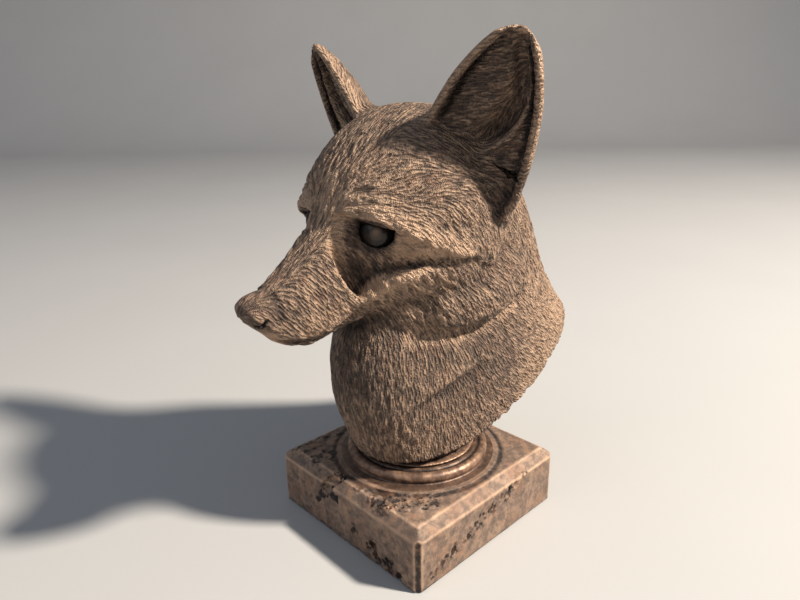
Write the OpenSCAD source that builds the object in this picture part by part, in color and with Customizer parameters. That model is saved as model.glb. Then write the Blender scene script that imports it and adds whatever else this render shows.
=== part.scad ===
// Fox-head bust on a square plinth: a small garden ornament cast in bronze.
// Millimetres, +Z up. The origin is the centre of the face that the plinth rests on.
// The fox looks along -Y, so its left side is +X.

/* [Plinth] */
// Side of the square plinth
plinth_side = 70; // [66:1:90]
// Height of the plinth's upright faces, above the ground
plinth_face_h = 17.8; // [15:0.1:24]
// Width and height of the bevel round the plinth's top
plinth_bevel = 3.7; // [2:0.1:5]
// Chamfer down the plinth's four upright edges
plinth_corner = 1.8; // [0.5:0.1:4]
// Wall of the hollow plinth
plinth_wall = 5; // [3:0.5:7]
// Thickness of the plinth's top plate
plinth_top = 6; // [4:0.5:8]
// Thickness of the rubber pad let into the underside
pad_t = 1.5; // [1:0.1:2]

/* [Ring moulding] */
// Outside radius of the half-round ring
ring_r = 25; // [24:0.5:26]
// Radius of the ring's half-round section
ring_bead = 1.8; // [1:0.1:2.5]

/* [Neck and head] */
// Height of the neck's lowest edge above the ground
neck_foot_z = 28; // [28:0.5:32]
// Widest half-width of the neck
neck_w = 27; // [24:0.5:30]
// Widest half-width of the head, at the cheeks
head_w = 31; // [28:0.5:34]
// Downward tilt of the head's axis
head_tilt = 20; // [16:1:24]
// Wall of the hollow casting
shell_wall = 5; // [4:0.5:7]

/* [Ears and eyes] */
// Length of an ear from its root to its tip
ear_len = 41; // [38:1:43]
// Half-width of an ear at its widest
ear_w = 14.5; // [12:0.5:16]
// Thickness of the ear's rim
ear_t = 2.6; // [2:0.1:4]
// Radius of an eyeball
eye_r = 5; // [4:0.1:6]

/* [Fixings] */
// Nominal diameter of the tie rod
rod_d = 6; // [5:1:6]
// Running clearance round the rod
rod_gap = 0.4; // [0.2:0.1:0.8]

/* [Hidden] */
EPS = 0.02;       // overlap or clearance that keeps two faces from lying in one plane
beyond = 120;     // further than any part of the bust, for cuts that go right through
FINE = 96;        // facets of round parts that stay exact
RING_SIDES = 40;  // points round each section of the neck and head

bronze = [0.42, 0.31, 0.24];
eye_black = [0.08, 0.07, 0.06];
brass = [0.72, 0.58, 0.30];
steel = [0.62, 0.63, 0.65];
rubber_black = [0.09, 0.09, 0.09];

rim_z = 0.5;                                   // the plinth's rim stands this far off the ground, on the pad
plinth_top_z = plinth_face_h + plinth_bevel;   // top of the plinth
disc_h = 0.7;                                  // thin disc under the ring
disc_rim = 2.8;                                // how far the disc stands out past the ring
ring_z = plinth_top_z + disc_h + ring_bead;    // middle of the half-round ring
socle_foot_z = ring_z + ring_bead;             // top of the ring moulding
lip_h = 0.9;                                   // thin lip at the socle's foot
socle_r = ring_r - 2 * ring_bead - 1.2;        // radius of the lip
socle_waist = socle_r - 3.6;                   // the socle's narrowest radius
socle_top = 60;                                // the socle is cut to the bust's slanting edge below this
bore_r = rod_d / 2 + rod_gap;                  // clearance bore for the tie rod
recess_z = plinth_top_z - plinth_top;          // underside of the plinth's top plate
insert_h = 14;                                 // length of the threaded insert
insert_r = 4.6;                                // radius of the threaded insert
boss_r = 9;                                    // boss round the insert, inside the neck
foot_plate = 5;                                // floor of the hollow neck
insert_z = neck_foot_z + 0.5;                  // where the insert starts
flat_washer_r = 8;
spring_washer_r = 5.2;
washer_t = 1.2;                                // thickness of the flat washer
spring_t = 1.6;                                // thickness of the spring washer
nut_h = 5;
nut_af = 10;                                   // across the nut's flats
thread_gap = 0.03;                             // between the rod and what is screwed onto it
cove_r = 3.1;                                  // radius of the cove at the socle's foot
pad_land = 2.5;                                // width of the plinth's rim outside the pad

// ---- points and sections -------------------------------------------------------------

function sgn_pow(v, e) = sign(v) * pow(abs(v), e);

// One point of a section that may be fuller above than below and squarer than an ellipse.
function section_point(a, w, up, down, square) =
    [w * sgn_pow(cos(a), 2 / square), (sin(a) >= 0 ? up : down) * sgn_pow(sin(a), 2 / square)];

// Skins a list of rings, each a list of the same number of 3-D points, into one closed solid.
module skin(rings) {
    n = len(rings[0]);
    m = len(rings);
    pts = [for (r = rings) each r];
    side = [for (j = [0:m - 2], i = [0:n - 1])
        [j * n + i, (j + 1) * n + i, (j + 1) * n + (i + 1) % n, j * n + (i + 1) % n]];
    foot = [for (i = [0:n / 2 - 2]) [i, i + 1, n - 2 - i, n - 1 - i]];
    top = [for (f = foot) [for (k = [3:-1:0]) (m - 1) * n + f[k]]];
    polyhedron(pts, concat(foot, side, top), convexity = 6);
}

// ---- neck ----------------------------------------------------------------------------

// Level sections of the neck: [height, front, back, half-width as a share of neck_w]
neck_levels = [
    [24, -22, 50, 0.80], [32, -25.5, 56, 0.84], [40, -29, 62, 0.89], [48, -31.5, 68.5, 0.94],
    [56, -32.5, 73, 0.97], [62, -32.5, 73, 0.98], [70, -31, 66, 0.98], [80, -27, 58, 0.98],
    [90, -23, 51.5, 0.98], [100, -18, 45, 0.96], [108, -12, 40, 0.90], [116, -4, 34.5, 0.80],
    [123, 2, 29, 0.66], [129, 6, 24.5, 0.40]
];
// Where a section is widest, from its front to its back
neck_belly = 0.42;
// How square the back of a section is: 2 is an ellipse
neck_square = 2.7;

function neck_ring(level, inset) =
    let (front = level[1] + inset, back = level[2] - inset, w = level[3] * neck_w - inset,
         mid = front + (back - front) * neck_belly)
    [for (i = [0:RING_SIDES - 1])
        let (a = 360 * i / RING_SIDES,
             p = section_point(a, w, back - mid, mid - front, a < 180 ? neck_square : 2.1))
        [p[0], mid + p[1], level[0]]];

// The bust's slanting lower edge, as y and z
under_start = -24;                             // y where the underside leaves the level of the foot
under_reach = 99;                              // from there to the back of the neck
under_rise = 33;                               // how far the underside climbs over that reach
under_edge = [for (share = [0:1 / 12:1])
    [under_start + under_reach * share, neck_foot_z + under_rise * pow(share, 2)]];

// Everything under that edge
module under_cut(lift) {
    translate([0, 0, lift]) rotate([90, 0, 90]) linear_extrude(2 * beyond, center = true)
        polygon(concat([[-beyond, -beyond], [-beyond, neck_foot_z]], under_edge,
                       [[beyond, 90], [beyond, -beyond]]));
}

module neck(inset = 0) {
    difference() {
        skin([for (l = neck_levels) neck_ring(l, inset)]);
        under_cut(inset == 0 ? 0 : foot_plate);
    }
}

// ---- head ----------------------------------------------------------------------------

nose = [-65.5, 89.2];   // y and z of the nose tip, where the head's axis starts

// Sections across the head's axis: [distance from the nose, half-width as a share of head_w, above, below]
head_stations = [
    [0.2, 0.06, 1.2, 1.5], [1.0, 0.15, 2.4, 4.0], [2.5, 0.19, 2.8, 7.2], [5, 0.21, 2.9, 12.2],
    [9, 0.24, 2.8, 17.2], [14, 0.26, 3.5, 19.4], [20, 0.30, 5.3, 20.7], [27, 0.36, 7.8, 21.5],
    [33, 0.48, 11.6, 22.0], [38, 0.65, 16.7, 23.5], [44, 0.82, 21.5, 26.5], [52, 0.93, 25.6, 30.0],
    [60, 1.00, 28.0, 32.5], [69, 1.00, 28.8, 32.5], [78, 0.93, 27.0, 29.0], [86, 0.80, 22.5, 23.0],
    [93, 0.58, 15.5, 14.0], [98, 0.30, 7.5, 7.0]
];

function to_head(x, s, h) =
    [x, nose[0] + s * cos(head_tilt) - h * sin(head_tilt), nose[1] + s * sin(head_tilt) + h * cos(head_tilt)];

function head_ring(st, inset) =
    [for (i = [0:RING_SIDES - 1])
        let (a = 360 * i / RING_SIDES,
             p = section_point(-a, max(st[1] * head_w - inset, 0.5), max(st[2] - inset, 0.5),
                               max(st[3] - inset, 0.5), 2))
        to_head(p[0], st[0], p[1])];

module head() {
    skin([for (st = head_stations) head_ring(st, 0)]);
}

// The hollow inside the head, kept behind the muzzle
module head_cavity() {
    skin([for (st = head_stations) if (st[0] > 40 && st[0] < 92) head_ring(st, shell_wall)]);
}

// ---- ears and eyes -------------------------------------------------------------------

ear_root = [23.4, -2.2, 123.5];   // middle of the left ear's root
ear_tip = [43.6, -5.4, 160.4];    // the left ear points at this place
ear_across = [0.88, 0.44, -0.36]; // from the root's inner front edge to its outer back edge
ear_depth = 10;                   // depth of the cupped back at the root

function unit(v) = v / norm(v);

// Sections along the ear: [share of its length, half-width share, depth share]
ear_sections = [
    [-0.10, 1.16, 1.00], [0.08, 1.15, 1.00], [0.25, 1.10, 0.96], [0.42, 1.00, 0.88], [0.58, 0.88, 0.76],
    [0.73, 0.70, 0.60], [0.85, 0.51, 0.43], [0.94, 0.32, 0.27], [0.985, 0.16, 0.15], [1.0, 0.05, 0.06]
];

function ear_ring(sec) =
    let (up = unit(ear_tip - ear_root),
         across = unit(ear_across - up * (ear_across * up)),
         back = cross(up, across),
         c = ear_root + up * ear_len * sec[0],
         w = max(ear_w * sec[1], 0.8), d = max(ear_depth * sec[2], 0.8),
         wi = max(w - ear_t, 0.3), di = max(d - ear_t, 0.3), n = 12)
    concat(
        [for (i = [0:n]) let (a = 180 * i / n) c + across * w * cos(a) + back * d * sin(a)],
        [for (i = [n:-1:0]) let (a = 180 * i / n) c + across * wi * cos(a) + back * (di * sin(a) + 0.01)]);

module left_ear_shape() {
    skin([for (sec = ear_sections) ear_ring(sec)]);
}

module left_ear() {
    color(bronze) difference() {
        left_ear_shape();
        head();
        neck();
    }
}

eye_at = [12.8, -27.7, 107.5];      // centre of the left eyeball
eye_out = unit([0.66, -0.75, 0.05]); // the way the left eye looks
orbit_r = 6.5;                    // radius of the hollow that the eye sits in
orbit_out = 8.5;                    // how far outside the eyeball's centre the hollow is centred

module left_eye() {
    color(eye_black) translate(eye_at) sphere(eye_r, $fn = FINE);
}

// ---- castings ------------------------------------------------------------------------

module bust_shell() {
    color(bronze) difference() {
        union() {
            neck();
            head();
        }
        difference() {
            union() {
                neck(shell_wall);
                head_cavity();
            }
            cylinder(h = insert_z + insert_h + 3, r = boss_r, $fn = FINE);
        }
        // seat of the threaded insert, open below
        cylinder(h = insert_z + insert_h, r = insert_r, $fn = FINE);
        for (side = [0, 1]) mirror([side, 0, 0]) {
            translate(eye_at) sphere(eye_r + EPS, $fn = FINE);
            translate(eye_at + eye_out * orbit_out) sphere(orbit_r, $fn = FINE);
        }
    }
}

module socle() {
    color(bronze) difference() {
        rotate_extrude($fn = FINE) {
            polygon(concat(
                [[bore_r, socle_foot_z], [socle_r, socle_foot_z], [socle_r, socle_foot_z + lip_h]],
                [for (a = [0:10:90])
                    [socle_waist + cove_r * (1 - sin(a)), socle_foot_z + lip_h + cove_r * (1 - cos(a))]],
                [[socle_waist, socle_top], [bore_r, socle_top]]));
        }
        difference() {
            translate([-beyond / 2, -beyond / 2, plinth_top_z]) cube([beyond, beyond, beyond]);
            under_cut(0);
        }
    }
}

module ring_moulding() {
    color(bronze) rotate_extrude($fn = FINE) {
        difference() {
            union() {
                translate([0, plinth_top_z]) square([ring_r + disc_rim, disc_h]);
                translate([0, plinth_top_z + disc_h]) square([ring_r - ring_bead, 2 * ring_bead]);
                translate([ring_r - ring_bead, ring_z]) circle(ring_bead, $fn = 48);
            }
            square([bore_r, socle_top]);
        }
    }
}

// A square with its corners cut off
module cut_square(side, corner) {
    h = side / 2;
    c = h - corner;
    polygon([[h, -c], [h, c], [c, h], [-c, h], [-h, c], [-h, -c], [-c, -h], [c, -h]]);
}

module plinth() {
    color(bronze) difference() {
        union() {
            translate([0, 0, rim_z])
                linear_extrude(plinth_face_h - rim_z) cut_square(plinth_side, plinth_corner);
            hull() {
                translate([0, 0, plinth_face_h - EPS])
                    linear_extrude(EPS) cut_square(plinth_side, plinth_corner);
                translate([0, 0, plinth_top_z - EPS]) linear_extrude(EPS)
                    cut_square(plinth_side - 2 * plinth_bevel, plinth_corner * 0.7);
            }
        }
        // hollow underside, with a rebate for the pad
        translate([0, 0, -1])
            linear_extrude(recess_z + 1) square(plinth_side - 2 * plinth_wall, center = true);
        translate([0, 0, -1]) linear_extrude(pad_t + 1) square(plinth_side - 2 * pad_land, center = true);
        cylinder(h = beyond, r = bore_r, $fn = FINE);
    }
}

module foot_pad() {
    color(rubber_black) linear_extrude(pad_t) square(plinth_side - 2 * pad_land - 0.2, center = true);
}

// ---- fixings -------------------------------------------------------------------------

module threaded_insert() {
    color(brass) translate([0, 0, insert_z]) difference() {
        cylinder(h = insert_h, r = insert_r - EPS, $fn = FINE);
        translate([0, 0, -1]) cylinder(h = insert_h + 2, r = rod_d / 2 + thread_gap, $fn = FINE);
    }
}

nut_top = recess_z - washer_t - spring_t;

module tie_rod() {
    rod_foot = nut_top - nut_h - 2;
    color(steel) translate([0, 0, rod_foot])
        cylinder(h = insert_z + insert_h - 1 - rod_foot, r = rod_d / 2, $fn = FINE);
}

module washer(z, t, r) {
    color(steel) translate([0, 0, z]) difference() {
        cylinder(h = t, r = r, $fn = FINE);
        translate([0, 0, -1]) cylinder(h = t + 2, r = rod_d / 2 + 0.2, $fn = FINE);
    }
}

module hex_nut() {
    color(steel) translate([0, 0, nut_top - nut_h]) difference() {
        cylinder(h = nut_h, r = nut_af / 2 / cos(30), $fn = 6);
        translate([0, 0, -1]) cylinder(h = nut_h + 2, r = rod_d / 2 + thread_gap, $fn = FINE);
    }
}

plinth();
foot_pad();
ring_moulding();
socle();
bust_shell();
left_ear();
mirror([1, 0, 0]) left_ear();  // right_ear
left_eye();
mirror([1, 0, 0]) left_eye();  // right_eye
threaded_insert();
tie_rod();
washer(recess_z - washer_t, washer_t, flat_washer_r);  // flat_washer
washer(recess_z - washer_t - spring_t, spring_t, spring_washer_r);  // spring_washer
hex_nut();
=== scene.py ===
"""Looks for the fox-head bust: a bronze fox on a turned ring and a square, weathered plinth.

The bust, the ears, the plinth and the socle are sculpted as distance fields in millimetres, which are
turned into meshes and placed in metres in the frame of the CAD model. +Z is up, the fox looks along -Y.
"""
import math

import bpy
import numpy as np
from mathutils import Matrix, Vector


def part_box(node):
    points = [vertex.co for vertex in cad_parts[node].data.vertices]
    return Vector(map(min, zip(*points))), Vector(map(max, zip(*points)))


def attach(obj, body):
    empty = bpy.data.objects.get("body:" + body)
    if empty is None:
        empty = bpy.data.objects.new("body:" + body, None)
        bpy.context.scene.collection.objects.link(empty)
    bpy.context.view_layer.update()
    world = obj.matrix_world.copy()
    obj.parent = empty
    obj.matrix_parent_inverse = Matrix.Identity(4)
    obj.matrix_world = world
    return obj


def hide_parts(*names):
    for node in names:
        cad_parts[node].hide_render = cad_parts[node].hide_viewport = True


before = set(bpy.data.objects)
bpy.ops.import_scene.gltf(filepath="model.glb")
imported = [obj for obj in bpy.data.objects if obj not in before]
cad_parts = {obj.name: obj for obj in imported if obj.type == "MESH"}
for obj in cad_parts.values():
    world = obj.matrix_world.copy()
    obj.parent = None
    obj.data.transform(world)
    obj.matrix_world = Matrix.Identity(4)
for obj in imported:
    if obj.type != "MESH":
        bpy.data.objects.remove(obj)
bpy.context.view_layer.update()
MM = 0.001


# ---------------------------------------------------------------- small helpers
def unit(vector):
    vector = np.asarray(vector, float)
    return vector / np.linalg.norm(vector)


def curve(x, knots):
    """A smooth curve through the rows of knots: column 0 is x, the others are what to read there."""
    rows = np.asarray(knots, float)
    xs, ys = rows[:, 0], rows[:, 1:]
    slopes = np.gradient(ys, xs, axis=0)
    i = np.clip(np.searchsorted(xs, x) - 1, 0, len(xs) - 2)
    gap = (xs[i + 1] - xs[i])[:, None]
    t = np.clip((x - xs[i])[:, None] / gap, 0, 1)
    a, b = ys[i], ys[i + 1]
    out = ((2 * t - 3) * t * t + 1) * a + ((t - 2) * t + 1) * t * gap * slopes[i]
    out += (3 - 2 * t) * t * t * b + (t - 1) * t * t * gap * slopes[i + 1]
    return out.T


def smooth_min(a, b, blend):
    """The lower of two fields, rounded over a width of blend where they meet."""
    share = np.clip(0.5 + 0.5 * (b - a) / blend, 0, 1)
    return b + (a - b) * share - blend * share * (1 - share)


def smooth_max(a, b, blend):
    return -smooth_min(-a, -b, blend)


def step(x, lo, hi):
    """0 up to lo and 1 from hi, smooth between them; lo may be the larger."""
    t = np.clip((x - lo) / (hi - lo), 0, 1)
    return t * t * (3 - 2 * t)


def bell(x):
    return np.exp(-x * x)


def ellipsoid(p, centre, radii):
    q = p - np.asarray(centre, float)
    r = np.asarray(radii, float)
    k0 = np.linalg.norm(q / r, axis=1)
    k1 = np.linalg.norm(q / (r * r), axis=1)
    return k0 * (k0 - 1) / np.maximum(k1, 1e-9)


def path_distance(p, path):
    """Distance to a polyline, and how far along it the nearest point is, from 0 to 1."""
    pts = np.asarray(path, float)
    best = np.full(len(p), 1e9)
    along = np.zeros(len(p))
    for i in range(len(pts) - 1):
        d = pts[i + 1] - pts[i]
        t = np.clip((p - pts[i]) @ d / (d @ d), 0, 1)
        dist = np.linalg.norm(p - pts[i] - t[:, None] * d, axis=1)
        closer = dist < best
        best[closer] = dist[closer]
        along[closer] = ((i + t) / (len(pts) - 1))[closer]
    return best, along


def brush(f, p, path, width, height, taper=0.12):
    """Raises the surface by height, or carves it where height is negative, along a path."""
    pts = np.asarray(path, float)
    lo, hi = pts.min(0) - 3 * width, pts.max(0) + 3 * width
    near = np.nonzero(((p > lo) & (p < hi)).all(1))[0]
    if not len(near):
        return f
    d, along = path_distance(p[near], path)
    ends = step(along, -0.001, taper) * step(1 - along, -0.001, taper) if taper else 1
    f[near] -= height * bell(d / width) * ends
    return f


# ---------------------------------------------------------------- head
NOSE = np.array([0.0, -65.5, 89.2])
TILT = np.radians(20)                          # how steeply the head's axis climbs from the nose
# Sections of the head: distance from the nose, half-width, height above the axis, below it, widest level
HEAD = [
    (0.2, 2.0, 1.0, 2.2, -0.6), (1.0, 4.6, 2.2, 4.2, -1.0), (2.5, 5.8, 2.6, 7.2, -1.6),
    (5, 6.6, 2.8, 12.2, -2.6), (9, 7.5, 2.6, 17.2, -4.2), (14, 8.3, 3.3, 19.4, -5.2),
    (20, 9.4, 5.2, 20.7, -5.6), (27, 11.2, 7.7, 21.5, -5.4), (33, 14.8, 11.6, 22.0, -5),
    (38, 20.2, 16.7, 23.5, -4), (44, 25.2, 21.5, 26.5, -3), (52, 28.8, 25.6, 30, -2),
    (60, 31.0, 28.0, 32.5, 0), (69, 31.0, 28.8, 32.5, 0), (78, 28.8, 27.0, 29, 0),
    (86, 24.8, 22.5, 23.0, 0), (93, 18.0, 15.5, 14.0, 0), (98, 9.3, 7.5, 7.0, 0),
]


def head_axes(p):
    """Distance from the nose along the head's axis, and height over it."""
    dy, dz = p[:, 1] - NOSE[1], p[:, 2] - NOSE[2]
    return dy * np.cos(TILT) + dz * np.sin(TILT), -dy * np.sin(TILT) + dz * np.cos(TILT)


def at_head(x, s, h):
    """The point that far from the middle, from the nose along the axis, and over the axis."""
    y = NOSE[1] + s * np.cos(TILT) - h * np.sin(TILT)
    z = NOSE[2] + s * np.sin(TILT) + h * np.cos(TILT)
    return np.array([x, y, z])


def section(x, y, half, up, down, power):
    """Rough distance to an outline that may be fuller above than below and squarer than an ellipse."""
    v = np.where(y > 0, y / up, y / down)
    rho = (np.abs(x / half) ** power + np.abs(v) ** power) ** (1 / power)
    r = np.hypot(x, y)
    return r - r / np.maximum(rho, 1e-6)


def end_cap(f, past):
    """Closes a form at its first and last section; past is how far a point lies beyond them."""
    return np.where(past > 0, np.hypot(np.maximum(f, 0), past), f)


def head_form(p):
    s, h = head_axes(p)
    inside = np.clip(s, HEAD[0][0], HEAD[-1][0])
    half, up, down, mid = curve(inside, HEAD)
    muzzle = step(s, 6, 16) * step(s, 34, 26)
    cheek = step(s, 44, 56) * step(h - mid, 2, -6)
    square = 2.15 + 0.25 * muzzle + 0.3 * cheek
    f = section(p[:, 0], h - mid, half, up - mid, down + mid, square)
    return end_cap(f, np.abs(s - inside))


# ---------------------------------------------------------------- neck
# Level sections of the neck: height, front, back, half-width
NECK = [
    (20, -20, 48, 21), (24, -22, 50, 21.6), (32, -25.5, 56, 22.7), (40, -29, 62, 24), (48, -31.5, 68.5, 25.2),
    (56, -32.5, 73, 25.7), (62, -32.5, 73, 25.6), (70, -31, 66, 24.8), (80, -27, 58, 24.4),
    (90, -23, 51.5, 24.6), (100, -18, 45, 25), (108, -12, 40, 24.3), (116, -4, 34.5, 21.6),
    (123, 2, 29, 17.8), (129, 6, 24.5, 10.8),
]
NECK_BELLY = 0.42                              # where a section is widest, from its front to its back
UNDER_EDGE = [(-60, 28), (-24, 28), (20, 35), (50, 46), (85, 68)]      # the bust's lower edge, as y and z
UNDER_SLOPE = 0.88                             # turns a drop below that edge into a distance from it
HEAD_TO_NECK = 2.2                             # width of the blend between head and neck


def neck_form(p):
    z = np.clip(p[:, 2], NECK[0][0], NECK[-1][0])
    front, back, half = curve(z, NECK)
    mid = front + (back - front) * NECK_BELLY
    y = p[:, 1] - mid
    f = section(p[:, 0], y, half, back - mid, mid - front, np.where(y > 0, 2.7, 2.1))
    f = end_cap(f, np.abs(p[:, 2] - z))
    edge = curve(np.clip(p[:, 1], -60, 85), UNDER_EDGE)[0]
    return smooth_max(f, (edge - p[:, 2]) * UNDER_SLOPE, 1.6)


# ---------------------------------------------------------------- ears
EAR_ROOT = np.array([23.4, -2.2, 123.5])
EAR_TIP = np.array([43.6, -5.4, 160.4])
EAR_LEN = 41.0
EAR_WALL = 1.25
EAR_UP = unit(EAR_TIP - EAR_ROOT)
EAR_ACROSS = np.array([0.88, 0.44, -0.36])
EAR_ACROSS = unit(EAR_ACROSS - EAR_UP * (EAR_ACROSS @ EAR_UP))
EAR_BACK = np.cross(EAR_UP, EAR_ACROSS)
# Sections of an ear: share of its length, half-width, depth
EAR = [
    (-0.25, 16.4, 9.5), (-0.1, 16.9, 10), (0.08, 16.7, 10), (0.25, 15.9, 9.6), (0.42, 14.5, 8.8),
    (0.58, 12.7, 7.6), (0.73, 10.1, 6.0), (0.85, 7.4, 4.3), (0.94, 4.6, 2.7), (0.985, 2.3, 1.5),
    (1.0, 0.9, 0.7),
]
# Share of the length, and where the steep wall behind the ear's hollow stands across its width
EAR_FOLD = [(-0.2, -0.3), (0.1, 0), (0.35, 0.42), (0.6, 0.6), (0.8, 0.52), (1, 0.2)]


def ear_axes(q):
    """Where a point lies across an ear, up it and behind it."""
    d = q - EAR_ROOT
    return d @ EAR_ACROSS, d @ EAR_UP, d @ EAR_BACK


def ear_inside(u, v):
    """How far the ear's inner face lies behind its rim, at shares of its half-width and length."""
    wall = curve(np.clip(v, -0.2, 1.0), EAR_FOLD)[0]
    ends = step(0.97 - v, 0.0, 0.12) * step(v, 0.05, 0.2)
    dish = 1.6 * step(u, -0.96, -0.80) * step(u, 0.90, 0.76)
    front_groove = 1.3 * bell((u + 0.83) / 0.07)
    hollow = 4.6 * step(u, wall - 0.62, wall - 0.14) * step(u, wall + 0.06, wall - 0.04) * step(v, -0.02, 0.3)
    ridge = -1.2 * bell((u - wall - 0.1) / 0.07)
    rear_groove = 1.3 * bell((u - 0.84) / 0.06) * step(v, 0.05, 0.3)
    pleats = -1.2 * step(v, 0.34, 0.1) * bell((u - 0.42 - 1.0 * v) / 0.08)
    return ends * (dish + front_groove + hollow + ridge + rear_groove + pleats)


def ear_form(q):
    a, h, b = ear_axes(q)
    v = h / EAR_LEN
    clipped = np.clip(v, EAR[0][0], EAR[-1][0])
    half, depth = curve(clipped, EAR)
    u = a / half
    past = np.abs(v - clipped) * EAR_LEN
    shell = end_cap(section(a, b, half, depth, depth, 2.0), past)
    behind = depth * np.sqrt(np.clip(1 - u * u, 0, 1))
    inside = smooth_min(ear_inside(u, v), np.maximum(behind - EAR_WALL, -0.3), 0.4)
    cup = smooth_max(shell, (inside - b) * 0.8, 0.4)
    rim = np.hypot((np.abs(u) - 0.92) * half, b + 0.2) - 1.25 * step(v, 1.02, 0.9) - 0.05
    return smooth_min(cup, end_cap(rim, past), 0.5)


# ---------------------------------------------------------------- face
EYE = np.array([12.8, -27.7, 107.5])
EYE_R = 5.0
EYE_OUT = unit([0.66, -0.74, 0.10])
EYE_SIDE = unit(np.cross(EYE_OUT, [0, 0, 1]) * -1)      # towards the outer corner
EYE_TOP = np.cross(EYE_SIDE, EYE_OUT) * -1
SOCKET_DEPTH = 6.5

# Lines on the fox's side. Those of the head are drawn as distance from the nose and height over its axis,
# apart from the front of the socket, which is height and then distance.
SOCKET_FRONT = [(-12, 30), (-2, 27), (6, 28.5), (18, 35)]
BROW_LINE = [(26, 14), (35, 13), (40, 8), (45, 0), (54, -9.5), (70, -22)]
RIDGE_LINE = [(24, -9), (30, -12), (36, -9), (60, -14)]
MOUTH_LINE = [(0, -6.5), (6, -12), (14, -17), (22, -18), (31, -13.5)]
HOLLOW_LINE = [(27, -18), (36, -15), (42, -17.5)]
# Those of the neck are drawn from the side, as y and z.
RUFF_LINE = [(-28, 77), (-10, 73), (8, 73), (32, 80)]
CREASE_LINE = [(-28, 44), (-10, 55), (10, 62)]


def mirror_x(p):
    """The same points brought to the fox's left half."""
    q = p.copy()
    q[:, 0] = np.abs(q[:, 0])
    return q


def eye_axes(q):
    """Where a point lies towards an eye's outer corner, above its middle and in front of it."""
    d = q - EYE
    return d @ EYE_SIDE, d @ EYE_TOP, d @ EYE_OUT


def socket_share(q):
    """1 inside the hollow round an eye, between the muzzle's end, the brow and the cheek's ridge."""
    s, h = head_axes(q)
    behind = s - curve(np.clip(h, -12, 18), SOCKET_FRONT)[0]
    under = curve(np.clip(s, 26, 70), BROW_LINE)[0] - h
    over = h - curve(np.clip(s, 24, 60), RIDGE_LINE)[0]
    low = bell((over - 3) / 4)
    fade = np.clip((behind - 3 - 6 * low) / (16 + 2 * low), 0, 1)
    socket = step(behind, -0.6, 1.4) * step(1 - fade, 0, 1) * step(under, -0.4, 2.0) * step(over, 0, 3)
    return socket * step(q[:, 0], 4.5, 9.0)


def laid_on(form, place, count=9):
    """Points on the surface, where place gives points from their distances out from the middle."""
    near = np.zeros(count)
    far = np.full(count, 50.0)
    for _ in range(24):
        out = (near + far) / 2
        solid = form(place(out)) < 0
        near = np.where(solid, out, near)
        far = np.where(solid, far, out)
    return place(near)


def head_path(line, start, end, lift=0.0):
    """A path on the head's side along one of its lines, or a little above or below it."""
    along = np.linspace(start, end, 9)
    level = curve(along, line)[0] + lift
    return laid_on(lambda p: head_form(p) + SOCKET_DEPTH * socket_share(p),
                   lambda out: at_head(out, along, level).T)


def neck_path(line, start, end, lift=0.0):
    """A path on the neck's side along one of its lines, or a little above it."""
    y = np.linspace(start, end, 9)
    z = curve(y, line)[0] + lift
    return laid_on(lambda p: smooth_min(head_form(p), neck_form(p), HEAD_TO_NECK),
                   lambda out: np.stack([out, y, z], 1))


BROW = head_path(BROW_LINE, 37, 61, 3.8)
EYE_CREASE = head_path(BROW_LINE, 41, 67)
CHEEK_RIDGE = head_path(RIDGE_LINE, 27, 44)
JAW_HOLLOW = head_path(HOLLOW_LINE, 28, 41)
MOUTH = head_path(MOUTH_LINE, 0.5, 31)
JAW_SIDE = head_path(MOUTH_LINE, 4, 28, -2.6)
RUFF_EDGE = neck_path(RUFF_LINE, -26.5, 30.5)
NECK_CREASE = neck_path(CREASE_LINE, -26, 9)
NECK_FOLD = neck_path(CREASE_LINE, -20, 3, 4.2)
NOSE_FOLD = [(6.6 * math.sin(t), -57.4, 89.4 + 4.5 * math.cos(t)) for t in np.linspace(0, 2.6, 8)]
# The middle of the roll of fur under the jaw, as y, distance out and z
ROLL_MIDDLE = [(-17, 12, 84), (5, 19, 83), (30, 16, 91)]
ROLL_Y = np.linspace(-17, 30, 7)
ROLL_OUT, ROLL_Z = curve(ROLL_Y, ROLL_MIDDLE)
RUFF = np.stack([ROLL_OUT, ROLL_Y, ROLL_Z], 1)
ROLL_R = 10.6


def nose(f, q):
    """The nose pad with its nostrils and the groove below it."""
    f = brush(f, q, NOSE_FOLD, 1.0, -0.8, 0.2)
    pad = ellipsoid(q, (0, -60.9, 90.0), (5.5, 5.0, 4.0))
    pad = smooth_min(pad, ellipsoid(q, (3.3, -60.8, 88.2), (2.8, 3.7, 3.2)), 1.0)
    f = smooth_min(f, pad, 0.6)
    nostril = [(1.9, -66.2, 87.8), (2.9, -64.6, 86.4), (4.7, -62.4, 86.8), (6.2, -61.2, 88.2)]
    hole, along = path_distance(q, nostril)
    f = smooth_max(f, 1.15 - 0.7 * along - hole, 0.4)
    return brush(f, q, [(0, -66.6, 88.8), (0, -65.2, 85.8), (0, -63.0, 83.4)], 0.55, -0.8, 0)


def eyelids(f, q):
    """Skin over the eyeball, with the opening cut out of it."""
    u, v, w = eye_axes(q)
    lids = np.sqrt(u * u + v * v + w * w) - (EYE_R + 0.6)
    f = smooth_min(f, np.maximum(lids, -w - 1.0), 1.2)
    upper = 2.3 - 0.22 * u
    lower = 0.6 - 4.8 * np.sqrt(np.clip(1 - ((u - 0.2) / 5.3) ** 2, 0, 1))
    gap = np.maximum(np.maximum(v - upper, lower - v), np.abs(u - 0.2) - 5.2)
    return np.where(w > 0, smooth_max(f, -gap, 0.3), f)


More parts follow.
